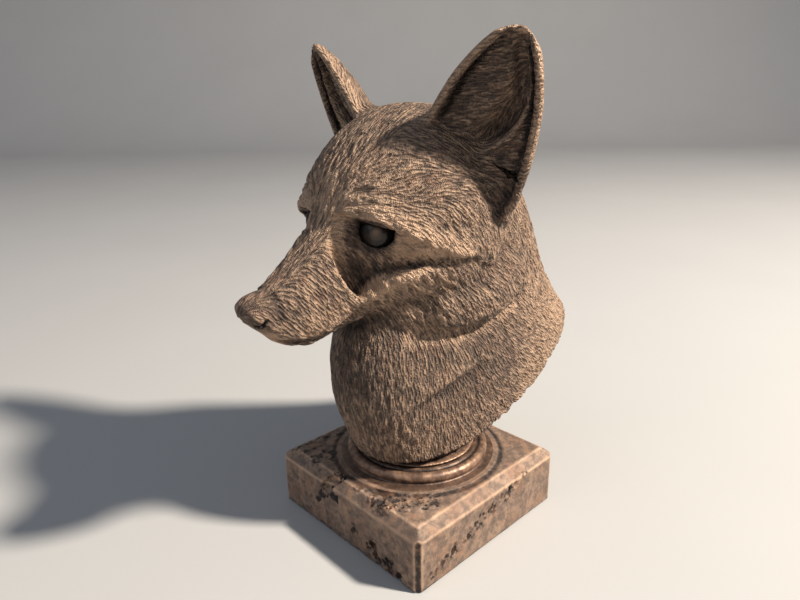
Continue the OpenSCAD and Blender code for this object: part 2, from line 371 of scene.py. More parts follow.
def face(f, q):
    f = f + SOCKET_DEPTH * socket_share(q)
    f = brush(f, q, BROW, 3.0, 2.5, 0.25)
    f = brush(f, q, EYE_CREASE, 1.9, -1.7, 0.15)
    f = brush(f, q, CHEEK_RIDGE, 2.2, 1.5, 0.3)
    f = brush(f, q, JAW_HOLLOW, 3.0, -0.8, 0.3)
    f = brush(f, q, JAW_SIDE, 1.7, -1.2)
    f = brush(f, q, MOUTH, 0.95, -2.5)
    return eyelids(nose(f, q), q)


def neck_detail(f, q):
    """The roll of fur under the jaw and the crease across the neck."""
    roll, along = path_distance(q, RUFF)
    thinner = 5 * step(0.22 - along, 0, 0.22) + 5 * step(along, 0.75, 1.0)
    f = smooth_min(f, roll - ROLL_R + thinner, 3.0)
    f = brush(f, q, RUFF_EDGE, 2.6, -3.2, 0.15)
    f = brush(f, q, NECK_FOLD, 3.0, 0.9, 0.4)
    return brush(f, q, NECK_CREASE, 1.6, -1.5, 0.4)


def fox(p):
    """Rough distance to the whole bust, less than 0 inside it."""
    q = mirror_x(p)
    f = smooth_min(face(head_form(q), q), neck_form(q), HEAD_TO_NECK)
    f = neck_detail(f, q)
    across, up, behind = ear_axes(q)
    return smooth_min(f, ear_form(q), 1.5 + 6 * step(behind, -3, 7) + 3.5 * bell(up / 6))


# ---------------------------------------------------------------- from a field to a mesh
def sample(sdf, axes, index, chunk=300000):
    """The field at the grid points whose indices are given, a chunk at a time."""
    out = np.empty(len(index))
    for start in range(0, len(index), chunk):
        part = index[start:start + chunk]
        out[start:start + chunk] = sdf(np.stack([axes[i][part[:, i]] for i in range(3)], 1))
    return out


def surface_net(sdf, lo, hi, cell, block=4, margin=1.9):
    """A mesh of quads of a field's surface, from a fine grid filled only near it.

    Where the surface runs is found first on a grid that is block times coarser.
    """
    n = np.ceil((np.asarray(hi, float) - lo) / (cell * block)).astype(int) * block + 1
    axes = [lo[i] + cell * np.arange(n[i]) for i in range(3)]
    coarse_axes = [axis[::block] for axis in axes]
    shape = [len(axis) for axis in coarse_axes]
    coarse = sample(sdf, coarse_axes, np.argwhere(np.ones(shape, bool))).reshape(shape)
    near = np.abs(coarse) < cell * block * margin
    live = np.zeros([count - 1 for count in shape], bool)
    for i, j, k in np.ndindex(2, 2, 2):
        live |= near[i:shape[0] - 1 + i, j:shape[1] - 1 + j, k:shape[2] - 1 + k]
    values = coarse
    for axis in range(3):
        values = np.repeat(values, block, axis)
    half = block // 2
    values = values[half:half + n[0], half:half + n[1], half:half + n[2]]
    grid = np.full(n, 1.0)
    grid[:values.shape[0], :values.shape[1], :values.shape[2]] = values
    for axis in range(3):
        live = np.repeat(live, block, axis)
    wanted = np.zeros(n, bool)
    for i, j, k in np.ndindex(2, 2, 2):
        wanted[i:n[0] - 1 + i, j:n[1] - 1 + j, k:n[2] - 1 + k] |= live
    grid[wanted] = sample(sdf, axes, np.argwhere(wanted))
    return net_from_values(grid, lo, cell)


def cell_points(values, cells):
    """For each cell, the mean of the places where its edges cross the surface, from 0 to 1."""
    total = np.zeros((len(cells), 3))
    hits = np.zeros(len(cells))
    for axis in range(3):
        other = [a for a in range(3) if a != axis]
        for s, t in np.ndindex(2, 2):
            start = cells.copy()
            start[:, other[0]] += s
            start[:, other[1]] += t
            end = start.copy()
            end[:, axis] += 1
            v0, v1 = values[tuple(start.T)], values[tuple(end.T)]
            cross = (v0 < 0) != (v1 < 0)
            point = (start - cells).astype(float)
            point[:, axis] += np.where(cross, v0 / np.where(cross, v0 - v1, 1), 0)
            total[cross] += point[cross]
            hits[cross] += 1
    return total / hits[:, None]


def net_from_values(values, lo, cell):
    inside = values < 0
    n = np.array(values.shape)
    count = sum(inside[i:n[0] - 1 + i, j:n[1] - 1 + j, k:n[2] - 1 + k].astype(np.int8)
                for i, j, k in np.ndindex(2, 2, 2))
    mixed = (count > 0) & (count < 8)
    cells = np.argwhere(mixed)
    number = -np.ones(mixed.shape, int)
    number[mixed] = np.arange(len(cells))
    points = np.asarray(lo) + cell * (cells + cell_points(values, cells))
    steps = np.eye(3, dtype=int)
    quads = []
    for axis, a, b in ((0, 1, 2), (1, 2, 0), (2, 0, 1)):
        low = [slice(None)] * 3
        high = [slice(None)] * 3
        low[axis] = slice(0, -1)
        high[axis] = slice(1, None)
        starts_inside = inside[tuple(low)]
        edge = np.argwhere(starts_inside != inside[tuple(high)])
        off_rim = (edge[:, a] > 0) & (edge[:, b] > 0) & (edge[:, a] < n[a] - 1) & (edge[:, b] < n[b] - 1)
        edge = edge[off_rim]
        corners = [edge - steps[a] - steps[b], edge - steps[b], edge, edge - steps[a]]
        quad = np.stack([number[tuple(corner.T)] for corner in corners], 1)
        flip = ~starts_inside[tuple(edge.T)]
        quad[flip] = quad[flip][:, ::-1]
        quads.append(quad)
    return points, np.concatenate(quads)


def gradient(sdf, p, reach=0.05):
    """Which way the field grows at each point."""
    return np.stack([(sdf(p + d) - sdf(p - d)) / (2 * reach) for d in np.eye(3) * reach], 1)


def settle(p, sdf, rounds=3):
    """Moves the points onto the surface, where the field is zero."""
    for _ in range(rounds):
        slope = gradient(sdf, p)
        move = (sdf(p) / np.maximum((slope * slope).sum(1), 0.05))[:, None] * slope
        length = np.linalg.norm(move, axis=1, keepdims=True)
        p = p - move * np.minimum(1, 0.8 / np.maximum(length, 1e-9))
    return p


def unit_rows(v):
    return v / np.maximum(np.linalg.norm(v, axis=1, keepdims=True), 1e-9)


def vertex_normals(p, quads):
    """Normals of a mesh of quads, each vertex the mean of its faces."""
    n = np.cross(p[quads[:, 2]] - p[quads[:, 0]], p[quads[:, 3]] - p[quads[:, 1]])
    out = np.zeros_like(p)
    for corner in range(4):
        np.add.at(out, quads[:, corner], n)
    return unit_rows(out)


def value_noise(p):
    """Smooth noise from 0 to 1 on a lattice one unit apart."""
    base = np.floor(p).astype(np.int64)
    t = p - base
    t = t * t * (3 - 2 * t)
    total = np.zeros(len(p))
    for corner in np.ndindex(2, 2, 2):
        c = base + corner
        h = c[:, 0] * 73856093 ^ c[:, 1] * 19349663 ^ c[:, 2] * 83492791
        h = (h ^ (h >> 13)) * 1274126177 & 0x7FFFFFFF
        h = (h ^ (h >> 11)) & 0xFFFF
        w = np.prod(np.where(corner, t, 1 - t), axis=1)
        total += w * h / 65535.0
    return total


def lumps(p, size, octaves=3):
    """Noise of several sizes, about -1 to 1."""
    total = np.zeros(len(p))
    for k in range(octaves):
        total += (value_noise(p * 2 ** k / size + 17.3 * k) - 0.5) * 2 * 0.6 ** k
    return total


def mesh_object(name, points, faces, normals=None):
    """A mesh in metres from points in millimetres, with smooth faces."""
    mesh = bpy.data.meshes.new(name)
    mesh.from_pydata((points * MM).tolist(), [], faces)
    mesh.polygons.foreach_set("use_smooth", [True] * len(mesh.polygons))
    mesh.update()
    if normals is not None:
        mesh.normals_split_custom_set_from_vertices(normals.tolist())
    piece = bpy.data.objects.new(name, mesh)
    bpy.context.scene.collection.objects.link(piece)
    return piece


def store(piece, name, values):
    """Keeps a number or a vector for each point, which the material reads."""
    kind, slot = ("FLOAT_VECTOR", "vector") if values.ndim == 2 else ("FLOAT", "value")
    layer = piece.data.attributes.new(name, kind, "POINT")
    layer.data.foreach_set(slot, values.astype(np.float32).ravel())


def dress(piece, look, nodes):
    """Gives a piece its material and its place in the frame."""
    piece.data.materials.append(look)
    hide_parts(*nodes)
    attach(piece, "root")


# ---------------------------------------------------------------- fur
def fur_flow(q):
    """Which way the fur lies at points on the fox's left half."""
    s, h = head_axes(q)
    x, y, z = q.T
    flow = np.tile([0, math.cos(TILT), math.sin(TILT)], (len(q), 1))
    side = step(h, 16, 1) * step(x, 1, 8)
    flow = flow * (1 - side)[:, None] + side[:, None] * [0.1, 0.62, -0.78]
    brow = bell((s - 38) / 10) * step(h, 6, 14) * step(x, 5, 16)
    flow = flow + brow[:, None] * [1.1, 0.2, -0.6]
    lid = bell((s - 41) / 6) * bell((h - 7) / 6) * step(x, 4, 9)
    flow = flow + lid[:, None] * [1.6, 0.3, -0.2]
    neck = step(z, 80, 70)
    back = step(y, -30, 35)
    down = np.stack([0.1 * np.ones_like(y), 0.9 * back - 0.05, 0.35 * back - 1.0], 1)
    flow = flow * (1 - neck)[:, None] + down * neck[:, None]
    a, up, b = ear_axes(q)
    on_ear = step(up, -2, 5) * step(np.abs(a), 22, 18)
    inside = step(b, 6, 2)[:, None]
    along = (EAR_ACROSS + 0.45 * EAR_UP) * inside + EAR_UP * (1 - inside)
    flow = flow * (1 - on_ear)[:, None] + along * on_ear[:, None]
    return unit_rows(flow)


def strokes(q, normal, width, length, seed, taps=6):
    """Noise smeared along the fur, so that it lies in strokes: about -1 to 1."""
    total = value_noise(q / width + seed) - 0.5
    for way in (1, -1):
        r = q.copy()
        for _ in range(taps):
            along = fur_flow(r)
            along = unit_rows(along - normal * (along * normal).sum(1, keepdims=True))
            r = r + along * (way * length / (2 * taps))
            total = total + value_noise(r / width + seed) - 0.5
    return np.tanh(total / math.sqrt(2 * taps + 1) * 5.0)


def fur_depth(q, normal):
    """How deep the strokes are, in millimetres."""
    s, h = head_axes(q)
    x, y, z = q.T
    depth = 0.2 + 0.12 * step(s, 24, 50)
    depth -= 0.12 * step(normal[:, 2], 0.6, 0.95) * step(z, 100, 112)
    neck = step(84 - z, 0, 10)
    depth = depth * (1 - neck) + neck * (0.18 + 0.2 * step(y, -20, 25))
    depth *= step(s, 3, 12)
    a, up, b = ear_axes(q)
    share = np.clip(up / EAR_LEN, EAR[0][0], EAR[-1][0])
    rim = step(np.abs(a) / curve(share, EAR)[0], 0.76, 0.86) * step(b, 6, 3)
    ear = step(up, -2, 4) * step(np.abs(a), 22, 18)
    depth *= 1 - ear * (0.5 + 0.5 * rim)
    eye = np.linalg.norm(q - EYE, axis=1)
    pad = ellipsoid(q, (0, -61.5, 89.5), (6.5, 5.2, 5.5))
    return depth * step(eye, EYE_R + 0.9, EYE_R + 2.6) * step(pad, 0, 2)


def patina_and_painted_shade(q, points, normal):
    """How deep in a hollow each point lies, for the patina there: about 0 on a flat place, less on a rounded
    edge. On top comes painted shade in the eye sockets and on the neck under the roll of fur; the ears get
    less.
    """
    patina_and_shade = 1 - fox(points + normal * 2.5) / 2.5
    patina_and_shade *= step(np.linalg.norm(q - EYE, axis=1), EYE_R + 0.5, EYE_R + 1.8)
    # painted shade in the eye sockets, under the brow and above the cheek's ridge
    patina_and_shade += 0.75 * socket_share(q)
    # painted shade on the neck below the roll of fur, strongest towards the front
    neck = step(points[:, 2], 34, 62) * step(80 - points[:, 2], 0, 5)
    patina_and_shade += 0.22 * neck * step(points[:, 1], 40, 5)
    across, up, behind = ear_axes(q)
    return patina_and_shade * (1 - 0.45 * step(up, 4, 10))


def rim_share(q):
    """1 along the rim of an ear, where the material paints a highlight."""
    across, up, behind = ear_axes(q)
    half = curve(np.clip(up / EAR_LEN, -0.25, 1.0), EAR)[0]
    rim = step(np.abs(across) / half, 0.84, 0.92) * step(behind, 4, 1)
    return np.maximum(rim, step(up, 39, 40.5)) * step(up, 6, 12)


def fox_mesh(cell):
    """The bust with its fur: points, faces, and what the material reads at each point."""
    points, quads = surface_net(fox, np.array([-48.0, -70, 24]), np.array([48.0, 80, 166]), cell)
    points = settle(points, fox)
    normal = unit_rows(gradient(fox, points, 0.3))
    side = np.where(points[:, :1] < 0, [[-1, 1, 1]], [[1, 1, 1]])
    q = mirror_x(points)
    mirrored = normal * side
    offset = np.where(points[:, 0] < 0, 31.7, 0)[:, None]
    fine = strokes(q, mirrored, 0.85, 2.8, offset, 4)
    broad = strokes(q, mirrored, 1.8, 4.5, offset + 5.1, 4)
    height = 0.85 * fine + 0.35 * broad
    depth = fur_depth(q, mirrored)
    patina_and_shade = patina_and_painted_shade(q, points, normal)
    flow = fur_flow(q) * side
    flow = unit_rows(flow - normal * (flow * normal).sum(1, keepdims=True))
    # stroke crests rubbed lighter, plus a painted highlight along the ear rims; stored as height
    crest_wear_and_rim_highlight = fine * np.minimum(1, depth / 0.2) + 3.5 * rim_share(q)
    points = points + normal * (depth * height)[:, None]
    return points, quads, {"flow": flow, "height": crest_wear_and_rim_highlight, "patina_and_shade": patina_and_shade}


def is_ear(points, side):
    """True for points beyond the root of one ear."""
    a, up, b = ear_axes(points * [side, 1, 1])
    return up > 1 + 0.012 * a * a + 0.03 * b * b


def rim_loops(faces):
    """The closed loops of edges that only one face has, in order."""
    seen = {}
    for face in faces:
        for i, a in enumerate(face):
            seen[(a, face[i - 1])] = True
    follow = {b: a for a, b in seen if (b, a) not in seen}
    loops = []
    while follow:
        start, at = follow.popitem()
        loop = [start]
        while at != start:
            loop.append(at)
            at = follow.pop(at)
        loops.append(loop)
    return loops


def cut_out(name, points, quads, keep, normals, layers):
    """A piece from some of the quads, with a fan closing each hole."""
    faces = quads[keep]
    used, flat = np.unique(faces, return_inverse=True)
    faces = flat.reshape(faces.shape).tolist()
    mine, turned = points[used], normals[used]
    marks = {key: value[used] for key, value in layers.items()}
    for loop in rim_loops(faces):
        middle = mine[loop].mean(0)
        hub = len(mine)
        mine = np.vstack([mine, middle])
        turned = np.vstack([turned, turned[loop].mean(0)])
        marks = {key: np.concatenate([value, value[loop[:1]]]) for key, value in marks.items()}
        faces += [[a, b, hub] for a, b in zip(loop, loop[1:] + loop[:1])]
    piece = mesh_object(name, mine, faces, turned)
    for key, value in marks.items():
        store(piece, key, value)
    return piece


# ---------------------------------------------------------------- materials
class Look:
    """A node material, built up a node at a time. Sizes are in millimetres."""

    def __init__(self, name):
        self.material = bpy.data.materials.new(name)
        self.material.use_nodes = True
        self.tree = self.material.node_tree
        self.shader = self.tree.nodes["Principled BSDF"]

    def node(self, kind, inputs=(), **settings):
        made = self.tree.nodes.new("ShaderNode" + kind)
        for key, value in settings.items():
            setattr(made, key, value)
        for key, value in dict(inputs).items():
            self.feed(made.inputs[key], value)
        return made

    def feed(self, socket, value):
        if isinstance(value, bpy.types.NodeSocket):
            self.tree.links.new(value, socket)
        else:
            socket.default_value = value

    def place(self):
        """Position in millimetres."""
        coords = self.node("TexCoord").outputs["Object"]
        return self.node("VectorMath", {0: coords, "Scale": 1 / MM}, operation="SCALE").outputs[0]

    def noise(self, at, size, detail=3.0, rough=0.6):
        inputs = {"Vector": at, "Scale": 1 / size, "Detail": detail, "Roughness": rough}
        return self.node("TexNoise", inputs).outputs["Fac"]

    def reads(self, name, kind="Fac"):
        return self.node("Attribute", attribute_name=name).outputs[kind]

    def maths(self, operation, a, b=0.0, c=0.0):
        return self.node("Math", {0: a, 1: b, 2: c}, operation=operation).outputs[0]

    def spread(self, value, low, high, to_low=0.0, to_high=1.0):
        made = self.node("MapRange", {0: value, 1: low, 2: high, 3: to_low, 4: to_high})
        return made.outputs[0]

    def blend(self, share, a, b):
        made = self.node("Mix", data_type="RGBA")
        for slot, value in ((0, share), (6, a), (7, b)):
            self.feed(made.inputs[slot], value)
        return made.outputs[2]

    def bump(self, height, depth, under=None):
        inputs = {"Height": height, "Distance": depth * MM, "Strength": 1.0}
        if under is not None:
            inputs["Normal"] = under
        return self.node("Bump", inputs).outputs[0]

    def finish(self, **sockets):
        for key, value in sockets.items():
            self.feed(self.shader.inputs[key.replace("_", " ")], value)
        return self.material


def colour(red, green, blue):
    """A colour given as it looks on a screen, from 0 to 255."""
    parts = [c / 255 for c in (red, green, blue)]
    return [*[p / 12.92 if p < 0.04045 else ((p + 0.055) / 1.055) ** 2.4 for p in parts], 1.0]


def fur_bronze():
    """Bronze in short hairs: noise averaged at a few places along the way the fur lies."""
    look = Look("fur_bronze")
    at = look.place()
    flow = look.reads("flow", "Vector")
    total = None
    taps = 4
    for k in range(taps):
        reach = (k - (taps - 1) / 2) * 0.45
        there = look.node("VectorMath", {0: flow, 1: [reach] * 3, 2: at}, operation="MULTIPLY_ADD").outputs[0]
        tap = look.noise(there, 0.68, 1.0, 0.5)
        total = tap if total is None else look.maths("ADD", total, tap)
    hairs = look.spread(total, taps * 0.5 - 0.5, taps * 0.5 + 0.45)
    groove = look.spread(total, taps * 0.5 - 0.4, taps * 0.5 + 0.3)
    # The mix of dark and light colours: raised on the stroke crests and by a painted highlight along the ear
    # rims, lowered by patina in hollows and by painted shade in the eye sockets and under the roll of fur.
    tone_level = look.maths("MULTIPLY_ADD", look.reads("height"), 0.1, 0.24)
    tone_level = look.maths("MULTIPLY_ADD", groove, 0.5, tone_level)
    tone_level = look.maths("MULTIPLY_ADD", look.reads("patina_and_shade"), -0.75, tone_level)
    tone_level = look.maths("MULTIPLY_ADD", look.spread(look.noise(at, 12, 3.0), 0.3, 0.7, -0.5, 0.5), 0.12, tone_level)
    low = look.blend(look.spread(tone_level, -0.05, 0.5), colour(42, 35, 32), colour(104, 86, 73))
    skin = look.blend(look.spread(tone_level, 0.45, 0.95), low, colour(180, 150, 124))
    rust = look.spread(look.noise(at, 4, 3.0), 0.5, 0.75)
    skin = look.blend(look.maths("MULTIPLY", rust, 0.35), skin, colour(118, 80, 57))
    rough = look.spread(tone_level, 0.0, 1.0, 0.76, 0.6)
    bump = look.bump(hairs, 1.15)
    grain = look.bump(look.noise(at, 0.5, 2.0), 0.08, under=bump)
    return look.finish(Base_Color=skin, Metallic=0.3, Roughness=rough, Normal=grain)


def weathered_bronze():
    look = Look("weathered_bronze")
    at = look.place()
    mottle = look.noise(at, 3.0, 6.0, 0.68)
    tone_level = look.spread(mottle, 0.3, 0.7, 0.15, 0.75)
    tone_level = look.maths("MULTIPLY_ADD", look.reads("edge"), 0.6, tone_level)
    tone_level = look.maths("MULTIPLY_ADD", look.spread(look.reads("patina_and_shade"), 0.02, 0.4), -0.9, tone_level)
    low = look.blend(look.spread(tone_level, -0.2, 0.45), colour(46, 36, 31), colour(124, 104, 90))
    skin = look.blend(look.spread(tone_level, 0.4, 1.15), low, colour(205, 170, 140))
    rust = look.spread(look.noise(at, 6, 4.0), 0.48, 0.68)
    skin = look.blend(look.maths("MULTIPLY", rust, 0.4), skin, colour(138, 96, 69))
    rough = look.spread(tone_level, 0.0, 1.0, 0.66, 0.46)
    scratch = look.bump(look.noise(at, 0.9, 6.0, 0.74), 0.4)
    return look.finish(Base_Color=skin, Metallic=0.3, Roughness=rough, Normal=scratch)


def turned_bronze():
    look = Look("turned_bronze")
    at = look.place()
    mottle = look.noise(at, 2.6, 5.0)
    tone_level = look.spread(mottle, 0.3, 0.7, 0.1, 0.8)
    # darker in hollows (patina), all over the socle (painted shadow) and in the ring's corners (painted
    # shade)
    tone_level = look.maths("MULTIPLY_ADD", look.reads("patina_and_shade"), -0.8, tone_level)
    low = look.blend(look.spread(tone_level, -0.3, 0.4), colour(38, 28, 24), colour(108, 84, 69))
    skin = look.blend(look.spread(tone_level, 0.35, 1.0), low, colour(182, 146, 118))
    rough = look.spread(mottle, 0.3, 0.7, 0.52, 0.4)
    bump = look.bump(look.noise(at, 1.2, 5.0), 0.14)
    return look.finish(Base_Color=skin, Metallic=0.45, Roughness=rough, Normal=bump)


def eye_bronze():
    look = Look("eye_bronze")
    at = look.place()
    mottle = look.noise(at, 2.0, 4.0)
    ring = look.reads("ring")
    skin = look.blend(look.spread(mottle, 0.3, 0.7), colour(18, 15, 13), colour(30, 24, 20))
    # the lighter middle of the eyeball is a painted highlight, in place of a reflection
    skin = look.blend(ring, skin, colour(104, 86, 72))
    bump = look.bump(mottle, 0.03)
    return look.finish(Base_Color=skin, Metallic=0.1, Roughness=0.32, Specular_IOR_Level=0.3, Normal=bump)


def plain_metal(name, dark, light, roughness, grain):
    look = Look(name)
    at = look.place()
    spots = look.noise(at, grain, 4.0)
    skin = look.blend(look.spread(spots, 0.3, 0.7), dark, light)
    rough = look.spread(spots, 0.3, 0.7, roughness + 0.1, roughness)
    return look.finish(Base_Color=skin, Metallic=0.9, Roughness=rough, Normal=look.bump(spots, 0.05))


def pad_rubber():
    look = Look("pad_rubber")
    grain = look.noise(look.place(), 0.8, 3.0)
    skin = look.blend(grain, colour(24, 24, 25), colour(46, 45, 44))
    return look.finish(Base_Color=skin, Roughness=0.8, Normal=look.bump(grain, 0.1))


def floor_finish():
    look = Look("floor_finish")
    cloud = look.noise(look.place(), 180, 2.0)
    skin = look.blend(cloud, colour(168, 167, 165), colour(175, 174, 172))
    return look.finish(Base_Color=skin, Roughness=0.75)

# ---------------------------------------------------------------- plinth, socle and ring
def number_box(node):
    """A CAD node's box in millimetres."""
    lo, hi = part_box(node)
    return np.array(lo) / MM, np.array(hi) / MM


plinth_lo, plinth_hi = number_box("plinth")
ring_hi = number_box("ring_moulding")[1]
PLINTH_HALF = plinth_hi[0]
PLINTH_FOOT = plinth_lo[2]
PLINTH_TOP = plinth_hi[2]
BEVEL = 3.3
CORNER = 1.8
BY_45 = 0.7071                             # turns a step across a 45-degree face into a distance
DISC_R = ring_hi[0]
RING_R = DISC_R - 2.8
RING_BEAD = 1.8
DISC_TOP = PLINTH_TOP + 0.7
RING_MID = DISC_TOP + RING_BEAD
RECESS_HALF = PLINTH_HALF - 5
RECESS_TOP = PLINTH_TOP - 6
PAD_HALF = PLINTH_HALF - 2.5
ROD_R = 3.4


def plinth_body(p):
    x, y, z = np.abs(p[:, 0]), np.abs(p[:, 1]), p[:, 2]
    wide = np.maximum(x, y)
    side = wide - PLINTH_HALF
    bevel = (wide + z - (PLINTH_HALF + PLINTH_TOP - BEVEL)) * BY_45
    corner = (x + y - (2 * PLINTH_HALF - CORNER)) * BY_45
    f = smooth_max(smooth_max(side, bevel, 0.35), corner, 0.35)
    f = smooth_max(f, z - PLINTH_TOP, 0.7)
    return smooth_max(f, PLINTH_FOOT - z, 0.4)


# where the rough patch at the front corner fades in and ends, measured from the middle to the corner
PATCH = (19.4, 20.6, 26.0)
# pits low on the left face: x, z, size, depth
PITS = [(14, 5, 3.0, 1.6), (20.5, 3.5, 3.5, 1.6), (27, 2, 3.0, 1.3), (4, 8, 3, 0.9), (-24, 12, 3, 0.9)]
# what is broken out of the left face: paths and their radii
CHIPS = [([(-6.5, -32.5, 20.0), (-8.5, -34.5, 17.5), (-10.5, -35.3, 14.5)], 2.3),
         ([(-8.5, -34.8, 17.0), (-3.5, -35.4, 14.8)], 1.3),
         ([(-10.5, -35.3, 14.5), (-14.5, -35.4, 9.5)], 1.0),
         ([(13.5, -35.5, 6.0), (15.5, -35.5, 3.5)], 1.6), ([(20.0, -35.6, 3.0), (22.5, -35.6, 1.8)], 1.5)]


def plinth(p):
    x, y, z = p.T
    f = plinth_body(p) + 0.05 * lumps(p, 3.0, 4)
    pits = lumps(p, 2.4, 3)
    crumbs = lumps(p, 1.5, 3)
    # the rough patch at the front of the top, with a trough behind it
    top = step(z, PLINTH_TOP - 2.5, PLINTH_TOP - 0.5)
    corner = (x - y) / 2
    off = np.abs(x + y + 7)
    patch = top * step(corner, PATCH[0], PATCH[1]) * step(corner, PATCH[2] + 1, PATCH[2]) * step(off, 19, 12)
    f -= patch * (0.6 * crumbs + 0.2)
    f += 1.0 * top * bell((corner - PATCH[0] + 0.5) / 1.3) * step(off, 17, 9)
    f += 0.35 * top * step(pits, 0.1, 0.8) * step(x + y, -8, -30)
    # pits low on the left face, and a chip that breaks its upper edge
    left_face = step(-y, PLINTH_HALF - 2, PLINTH_HALF - 0.5)
    f += left_face * 0.16 * step(crumbs, 0.1, 0.9) * step(z, 19, 15)
    for pit_x, pit_z, size, deep in PITS:
        near = bell(np.hypot(x - pit_x, (z - pit_z) * 1.3) / size)
        f += left_face * deep * near * step(pits, -0.1, 0.7)
    # the rough band that climbs across the right face
    right_face = step(x, PLINTH_HALF - 2, PLINTH_HALF - 0.5)
    band = bell((z - 13 - 0.29 * y) / 2.4) * step(y, -33, -26) * step(y, 26, 14)
    f += right_face * band * (0.5 * crumbs + 0.9 * step(pits, 0.2, 0.8))
    jagged = p + 1.1 * lumps(p, 1.9, 2)[:, None]
    for path, size in CHIPS:
        pts = np.array(path, float)
        near = np.nonzero(((p > pts.min(0) - 6) & (p < pts.max(0) + 6)).all(1))[0]
        if len(near):
            f[near] = smooth_max(f[near], size - path_distance(jagged[near], path)[0], 0.25)
    # a low disc that the ring stands on
    f = smooth_min(f, np.maximum(np.hypot(x, y) - DISC_R - 1.2, z - PLINTH_TOP - 0.3), 1.2)
    recess = np.maximum(np.maximum(np.abs(x), np.abs(y)) - RECESS_HALF, z - RECESS_TOP)
    rebate = np.maximum(np.maximum(np.abs(x), np.abs(y)) - PAD_HALF, z - 1.5)
    bore = ROD_R - np.hypot(x, y)
    return np.maximum(np.maximum(f, -recess), np.maximum(-rebate, bore))


def plinth_edges(p):
    """1 along the worn edges, and the corner strips as a small cavity."""
    x, y, z = np.abs(p[:, 0]), np.abs(p[:, 1]), p[:, 2]
    wide = np.maximum(x, y)
    planes = np.stack([wide - PLINTH_HALF, (wide + z - (PLINTH_HALF + PLINTH_TOP - BEVEL)) * BY_45,
                       (x + y - (2 * PLINTH_HALF - CORNER)) * BY_45, z - PLINTH_TOP])
    ranked = np.sort(planes, axis=0)
    strip = step(planes[2] - np.maximum(planes[0], planes[1]), 0.15, 0.5)
    return bell((ranked[3] - ranked[2]) / 0.32), 0.3 * strip


def field_piece(name, sdf, lo, hi, cell, look, nodes, shade=0.0, edges=None):
    """A piece from a field, with its hollows marked, painted shade added everywhere by shade, and its worn
    edges where edges finds them.
    """
    points, quads = surface_net(sdf, np.array(lo, float), np.array(hi, float), cell)
    points = settle(points, sdf)
    normal = unit_rows(gradient(sdf, points, 0.3))
    patina_and_shade = np.clip(1 - sdf(points + normal * 1.5) / 1.5, -1, 1) + shade
    piece = mesh_object(name, points, quads.tolist())
    if edges is not None:
        edge, strip = edges(points)
        patina_and_shade = patina_and_shade + strip
        store(piece, "edge", edge * step(patina_and_shade, 0.5, 0.1))
    store(piece, "patina_and_shade", patina_and_shade)
    dress(piece, look, nodes)
    return piece


SOCLE_R = RING_R - 2 * RING_BEAD - 1.2
SOCLE_FOOT = RING_MID + RING_BEAD


def socle(p):
    x, y, z = p.T
    r = np.hypot(x, y)
    rise = z - SOCLE_FOOT - 0.9
    waist = SOCLE_R - 0.5 - 3.1 * np.sqrt(np.clip(1 - (1 - np.clip(rise / 3.1, 0, 1)) ** 2, 0, 1))
    wall = np.where(rise < 0, SOCLE_R, waist)
    f = smooth_max(r - wall, SOCLE_FOOT - z, 0.3)
    edge = curve(np.clip(y, -60, 85), UNDER_EDGE)[0]
    f = np.maximum(f, (z - edge - 0.6) * UNDER_SLOPE)
    return np.maximum(f + 0.1 * lumps(p, 3.0, 3), ROD_R - r)


def ring_shade(outline):
    """The dark lines in the ring's two corners."""
    r, z = outline.T
    return 0.45 * bell((z - DISC_TOP - 0.1) / 0.45) + 0.9 * bell((r - RING_R + 2 * RING_BEAD - 0.5) / 0.6)


def lathe(name, profile, sides, look, nodes):
    """Turns a closed outline of (radius, height) points round the Z axis."""
    outline = np.array(profile)
    n = len(outline)
    turn = np.arange(sides) * 2 * math.pi / sides
    points = np.stack([np.outer(np.cos(turn), outline[:, 0]), np.outer(np.sin(turn), outline[:, 0]),
                       np.outer(np.ones(sides), outline[:, 1])], 2).reshape(-1, 3)
    faces = []
    for i in range(sides):
        j = (i + 1) % sides
        for k in range(n):
            m = (k + 1) % n
            faces.append([i * n + k, j * n + k, j * n + m, i * n + m])
    piece = mesh_object(name, points, faces)
    store(piece, "patina_and_shade", np.tile(ring_shade(outline), sides))
    dress(piece, look, nodes)
    return piece


def ring_profile():
    """The outline of disc, bead and lip, as (radius, height)."""
    hub = RING_R - RING_BEAD
    inner = RING_R - 2 * RING_BEAD - 0.4
    foot = [(ROD_R, PLINTH_TOP - 0.4), (DISC_R - 0.2, PLINTH_TOP - 0.4), (DISC_R, PLINTH_TOP + 0.1),
            (DISC_R - 0.15, PLINTH_TOP + 0.35), (DISC_R - 0.6, PLINTH_TOP + 0.5),
            (RING_R + 1.0, DISC_TOP - 0.1), (RING_R + 0.2, DISC_TOP + 0.1)]
    bead = [(hub + RING_BEAD * math.cos(a), RING_MID + RING_BEAD * math.sin(a))
            for a in np.radians(range(-50, 131, 10))]
    lip = [(inner + 0.7 * math.cos(a), SOCLE_FOOT - 0.5 + 0.7 * math.sin(a))
           for a in np.radians(range(20, 111, 15))]
    return foot + bead + lip + [(inner - 1.4, SOCLE_FOOT - 0.3), (ROD_R, SOCLE_FOOT - 0.3)]


